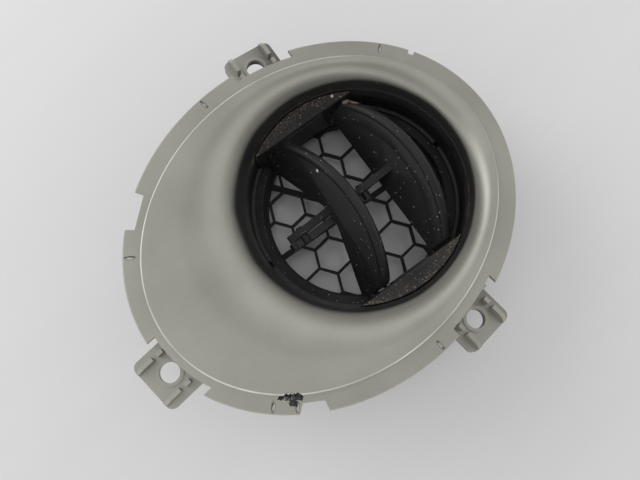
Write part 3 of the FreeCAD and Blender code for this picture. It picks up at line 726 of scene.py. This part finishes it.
def torn_plastic():
    """Black plastic with whitened, frayed patches."""
    material, tree, shader, place = new_material("Torn plastic", TEAR_ROUGHNESS)
    frays = noise(tree, place, TEAR_FRAY_SCALE, detail=4.0, roughness=0.7)
    frayed = smooth_between(tree, frays, *TEAR_FRAYS)
    link(tree, mixed(tree, frayed, TEAR_DARK, TEAR_FRAYED), shader.inputs["Base Color"])
    grain = use_group(
        tree, "Vent moulded grain", place=place, scale=TEAR_GRAIN_SCALE, height=TEAR_GRAIN_HEIGHT)
    link(tree, grain.outputs["Normal"], shader.inputs["Normal"])
    return material


def pale_table(settings):
    """The pale, slightly streaky table top."""
    material, tree, shader, place = new_material("Pale table", TABLE_ROUGHNESS)
    streaks = tree.nodes.new("ShaderNodeMapping")
    streaks.inputs["Scale"].default_value = TABLE_STREAKS
    streaks.inputs["Rotation"].default_value = (0.0, 0.0, TABLE_TURN)
    link(tree, place, streaks.inputs["Vector"])
    cloud = noise(tree, streaks.outputs["Vector"], TABLE_SCALE, detail=4.0)
    darker = tuple(value * TABLE_DARKER for value in settings.floor_color)
    link(tree, mixed(tree, cloud, darker, tuple(settings.floor_color)), shader.inputs["Base Color"])
    return material


def dress(node_name, material, angle=SHARP_ANGLE):
    """Gives a CAD node its material, joins its loose triangles on view and shades its curved faces smoothly.

    Edges between faces that meet at more than the angle, in degrees, stay sharp.
    """
    node = NODES[node_name]
    node.data.materials.clear()
    node.data.materials.append(material)
    for polygon in node.data.polygons:
        polygon.use_smooth = True
    weld = node.modifiers.new("Join triangles", "WELD")
    weld.merge_threshold = JOIN_DISTANCE
    split = node.modifiers.new("Keep edges", "EDGE_SPLIT")
    split.split_angle = math.radians(angle)
    split.use_edge_sharp = False


def deselect():
    bpy.ops.object.select_all(action="DESELECT")


def set_in(matrix):
    """Moves the new object to its place and puts the place in its mesh."""
    piece = bpy.context.object
    piece.matrix_world = matrix
    bpy.ops.object.transform_apply(location=True, rotation=True, scale=True)
    return piece


def cut_with(piece, cutter, operation):
    """Applies a boolean with another object, which is then removed."""
    change = piece.modifiers.new("Cut", "BOOLEAN")
    change.object = cutter
    change.operation = operation
    change.solver = "EXACT"
    bpy.context.view_layer.objects.active = piece
    bpy.ops.object.modifier_apply(modifier=change.name)
    bpy.data.objects.remove(cutter, do_unlink=True)


def round_edges(piece, width, segments, material=-1):
    """Rounds the sharp edges of a piece and shades it smoothly."""
    deselect()
    piece.select_set(True)
    bpy.context.view_layer.objects.active = piece
    bevel = piece.modifiers.new("Round", "BEVEL")
    bevel.width = width
    bevel.segments = segments
    bevel.limit_method = "ANGLE"
    bevel.angle_limit = math.radians(BEVEL_ANGLE)
    bevel.material = material
    bpy.ops.object.modifier_apply(modifier=bevel.name)
    bpy.ops.object.shade_smooth_by_angle(angle=math.radians(NOSE_SHARP_ANGLE))


def blade_place(joint_name):
    """The vane's own axes: through its thickness, along its pivot and towards its lip."""
    joint = next(item for item in FRAME["joints"] if item["name"] == joint_name)
    along = Vector(joint["axis"]).normalized()
    up = Vector((0, 0, 1))
    across = along.cross(up)
    thick = across * math.cos(VANE_LEAN) - up * math.sin(VANE_LEAN)
    depth = across * math.sin(VANE_LEAN) + up * math.cos(VANE_LEAN)
    axes = Matrix((thick, along, depth)).transposed().to_4x4()
    return Matrix.Translation(joint["pos_m"]) @ axes


def trim_sides(piece, place, width):
    """Keeps only the part of a nose that lies on the vane's width, in front of its pivot."""
    deselect()
    bpy.ops.mesh.primitive_cube_add(size=1)
    size = Matrix.Diagonal((TRIM_BOX_THICK, width, TRIM_BOX_LONG, 1))
    box = set_in(place @ Matrix.Translation((0, 0, TRIM_BOX_LONG / 2 + TRIM_BOX_START)) @ size)
    cut_with(piece, box, "INTERSECT")


def make_nose(body, joint_name, band, materials, settings):
    """The vane's rounded lip, and the thicker band behind it with a painted highlight on its rounded edge."""
    place = blade_place(joint_name)
    flat = Matrix.Rotation(math.radians(90), 4, "Y")
    middle = LIP_REACH - LIP_ARC_R
    deselect()
    bpy.ops.mesh.primitive_torus_add(
        major_segments=ARC_STEPS, minor_segments=LIP_STEPS, major_radius=LIP_ARC_R - settings.lip_radius,
        minor_radius=settings.lip_radius)
    lip = set_in(place @ Matrix.Translation((0, 0, middle)) @ flat)
    lip.name = body + "_lip"
    trim_sides(lip, place, settings.lip_width)
    lip.data.materials.append(materials[0])
    round_edges(lip, LIP_END_ROUND, 3)
    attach(lip, body)
    crest, bend = band
    deselect()
    bpy.ops.mesh.primitive_cylinder_add(vertices=ARC_STEPS, radius=BAND_FRONT_R, depth=settings.band_thick)
    plate = set_in(place @ Matrix.Translation((BAND_FACE + settings.band_thick / 2, 0, middle)) @ flat)
    plate.name = body + "_nose_band"
    deselect()
    bpy.ops.mesh.primitive_cylinder_add(vertices=ARC_STEPS, radius=bend, depth=TRIM_BOX_THICK)
    cut_with(plate, set_in(place @ Matrix.Translation((0, 0, crest - bend)) @ flat), "DIFFERENCE")
    trim_sides(plate, place, settings.band_width)
    for material in materials:
        plate.data.materials.append(material)
    round_edges(plate, settings.band_round, 2, material=1)
    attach(plate, body)


class VENT_OT_dress_bezel(bpy.types.Operator):
    """Paints the bezel"""

    bl_idname = "vent.dress_bezel"
    bl_label = "Dress bezel"

    def execute(self, context):
        dress("bezel", silver_paint(context.scene.vent_paint))
        return {"FINISHED"}


class VENT_OT_tear_flange(bpy.types.Operator):
    """Leaves torn, whitened plastic in the hole chewed beside the dish's edge"""

    bl_idname = "vent.tear_flange"
    bl_label = "Tear flange"

    def execute(self, context):
        material = torn_plastic()
        cloud = bpy.data.textures.new("Torn plastic", "CLOUDS")
        cloud.noise_scale = TEAR_CLOUD_SIZE
        cloud.noise_depth = 2
        turn = Matrix.Rotation(FLANGE_TILT, 4, "Y") @ Matrix.Rotation(TEAR_TURN, 4, "Z")
        for number, (offset, size) in enumerate(TEAR_LUMPS, 1):
            deselect()
            bpy.ops.mesh.primitive_ico_sphere_add(subdivisions=5, radius=0.5)
            spot = Matrix.Translation(TEAR_PLACE) @ turn @ Matrix.Translation(offset)
            lump = set_in(spot @ Matrix.Diagonal((*size, 1)))
            lump.name = "torn_plastic_%d" % number
            change = lump.modifiers.new("Tear", "DISPLACE")
            change.texture = cloud
            change.texture_coords = "LOCAL"
            change.strength = TEAR_DEPTH
            change.mid_level = 0.5
            bpy.ops.object.modifier_apply(modifier=change.name)
            lump.data.materials.append(material)
            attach(lump, "housing")
        return {"FINISHED"}


class VENT_OT_dress_barrel(bpy.types.Operator):
    """Gives the barrel, the grille and the drum their plastic"""

    bl_idname = "vent.dress_barrel"
    bl_label = "Dress barrel"

    def execute(self, context):
        settings = context.scene.vent_plastic
        # The dusty ring on the bead's top is dust and a painted highlight.
        dress("barrel_housing", black_plastic(
            "Barrel plastic", settings, roughness=0.45, film=0.05, speck_share=0.04, dusty=BEAD_DUST_AND_HIGHLIGHT))
        dress("rear_grille", black_plastic(
            "Grille plastic", settings, roughness=0.55, film=0.04, speck_share=0.0))
        dress("drum", black_plastic(
            "Drum plastic", settings, roughness=0.46, film=0.12, speck_share=0.12, chips=CRESCENT_CHIPS,
            dusty=CRESCENT_DUST))
        return {"FINISHED"}


class VENT_OT_dress_vanes(bpy.types.Operator):
    """Gives the vanes and their link rod their plastic and wear, and the vanes their thick noses"""

    bl_idname = "vent.dress_vanes"
    bl_label = "Dress vanes"

    def execute(self, context):
        settings = context.scene.vent_plastic
        nose = context.scene.vent_nose
        right = black_plastic(
            "Right vane plastic", settings, roughness=0.36, film=0.04, speck_share=0.07,
            spots=RIGHT_VANE_WEAR)
        left = black_plastic(
            "Left vane plastic", settings, roughness=0.36, film=0.04, speck_share=0.08, chips=LEFT_VANE_CHIPS)
        # Painted highlight: a paler dusty film on the rounded edge of each vane's band.
        edge = black_plastic("Vane edge highlight", settings, roughness=0.3, film=0.5, speck_share=0.0)
        dress("right_vane", right, angle=VANE_SHARP_ANGLE)
        dress("left_vane", left, angle=VANE_SHARP_ANGLE)
        make_nose("right_vane", "right_vane_tilt", RIGHT_BAND, (right, edge), nose)
        make_nose("left_vane", "left_vane_tilt", LEFT_BAND, (left, edge), nose)
        dress("link_rod", black_plastic(
            "Link rod plastic", settings, roughness=0.34, film=0.03, speck_share=0.03))
        return {"FINISHED"}


def add_area_light(name, place, size, power):
    """A square lamp that points at the vent."""
    light = bpy.data.lights.new(name, "AREA")
    light.shape = "SQUARE"
    light.size = size
    light.energy = power
    lamp = bpy.data.objects.new(name, light)
    lamp.location = place
    lamp.rotation_euler = (Vector(LAMP_TARGET) - Vector(place)).to_track_quat("-Z", "Y").to_euler()
    bpy.context.scene.collection.objects.link(lamp)
    return lamp


def light_room(scene, settings):
    """The world: pale walls under a dimmer ceiling, and a plain backdrop for the camera."""
    world = bpy.data.worlds.new("Soft studio")
    scene.world = world
    world.use_nodes = True
    tree = world.node_tree
    background = tree.nodes["Background"]
    background.inputs["Color"].default_value = (1.0, 1.0, 1.0, 1.0)
    height = split_axes(tree, tree.nodes.new("ShaderNodeTexCoord").outputs["Generated"])[2]
    overhead = smooth_between(tree, height, CEILING_LOW, CEILING_HIGH)
    drop = product(tree, overhead, settings.fill - settings.ceiling)
    link(tree, math_node(tree, "SUBTRACT", settings.fill, drop), background.inputs["Strength"])
    seen = tree.nodes.new("ShaderNodeBackground")
    seen.inputs["Color"].default_value = (*settings.backdrop, 1.0)
    choose = tree.nodes.new("ShaderNodeMixShader")
    path = tree.nodes.new("ShaderNodeLightPath")
    link(tree, path.outputs["Is Camera Ray"], choose.inputs["Fac"])
    link(tree, background.outputs["Background"], choose.inputs[1])
    link(tree, seen.outputs["Background"], choose.inputs[2])
    link(tree, choose.outputs["Shader"], tree.nodes["World Output"].inputs["Surface"])


def place_camera(scene):
    """The camera at the photograph's place, with its angle of view."""
    camera_data = bpy.data.cameras.new("Photograph camera")
    camera_data.sensor_width = SENSOR_WIDTH
    camera_data.lens = SENSOR_WIDTH * PHOTO_FOCAL / PHOTO_WIDTH
    camera_data.clip_start = CAMERA_CLIP
    camera = bpy.data.objects.new("Photograph camera", camera_data)
    right = Vector(CAMERA_RIGHT).normalized()
    back = right.cross(Vector(CAMERA_UP)).normalized()
    up = back.cross(right)
    camera.matrix_world = Matrix.Translation(CAMERA_PLACE) @ Matrix((right, up, back)).transposed().to_4x4()
    scene.collection.objects.link(camera)
    scene.camera = camera


class VENT_OT_set_stage(bpy.types.Operator):
    """Lays the floor, hangs the lamps and places the camera as in the photograph"""

    bl_idname = "vent.set_stage"
    bl_label = "Set stage"

    def execute(self, context):
        scene = context.scene
        settings = scene.vent_stage
        deselect()
        bpy.ops.mesh.primitive_plane_add(size=settings.floor_size, location=(0, 0, 0))
        floor = context.object
        floor.name = "Floor"
        floor.data.materials.append(pale_table(settings))
        add_area_light("Window light", settings.key_place, settings.key_size, settings.key_power)
        add_area_light("Side light", settings.side_place, settings.key_size, settings.side_power)
        top = add_area_light("Top light", settings.top_place, settings.top_size, settings.top_power)
        top.data.spread = settings.top_spread
        top.rotation_euler = (0, 0, 0)
        light_room(scene, settings)
        place_camera(scene)
        scene.view_settings.view_transform = "Standard"
        return {"FINISHED"}


class VENT_PT_panel(bpy.types.Panel):
    """Lists the steps that dress the vent and their settings."""

    bl_idname = "VENT_PT_panel"
    bl_label = "Air vent"
    bl_space_type = "VIEW_3D"
    bl_region_type = "UI"
    bl_category = "Vent"

    def draw(self, context):
        for operator in OPERATORS:
            self.layout.operator(operator.bl_idname)
        for name, _ in SETTINGS:
            group = getattr(context.scene, name)
            box = self.layout.box()
            for setting in group.__annotations__:
                box.prop(group, setting)


OPERATORS = (
    VENT_OT_dress_bezel,
    VENT_OT_tear_flange,
    VENT_OT_dress_barrel,
    VENT_OT_dress_vanes,
    VENT_OT_set_stage,
)
SETTINGS = (
    ("vent_stage", VentStageSettings),
    ("vent_paint", VentPaintSettings),
    ("vent_plastic", VentPlasticSettings),
    ("vent_nose", VentNoseSettings),
)


def register():
    for name, group in SETTINGS:
        bpy.utils.register_class(group)
        setattr(bpy.types.Scene, name, bpy.props.PointerProperty(type=group))
    for operator in OPERATORS:
        bpy.utils.register_class(operator)
    bpy.utils.register_class(VENT_PT_panel)


def unregister():
    bpy.utils.unregister_class(VENT_PT_panel)
    for operator in reversed(OPERATORS):
        bpy.utils.unregister_class(operator)
    for name, group in reversed(SETTINGS):
        delattr(bpy.types.Scene, name)
        bpy.utils.unregister_class(group)


def main():
    register()
    bpy.ops.vent.dress_bezel()
    bpy.ops.vent.tear_flange()
    bpy.ops.vent.dress_barrel()
    bpy.ops.vent.dress_vanes()
    bpy.ops.vent.set_stage()


if __name__ == "__main__":
    main()
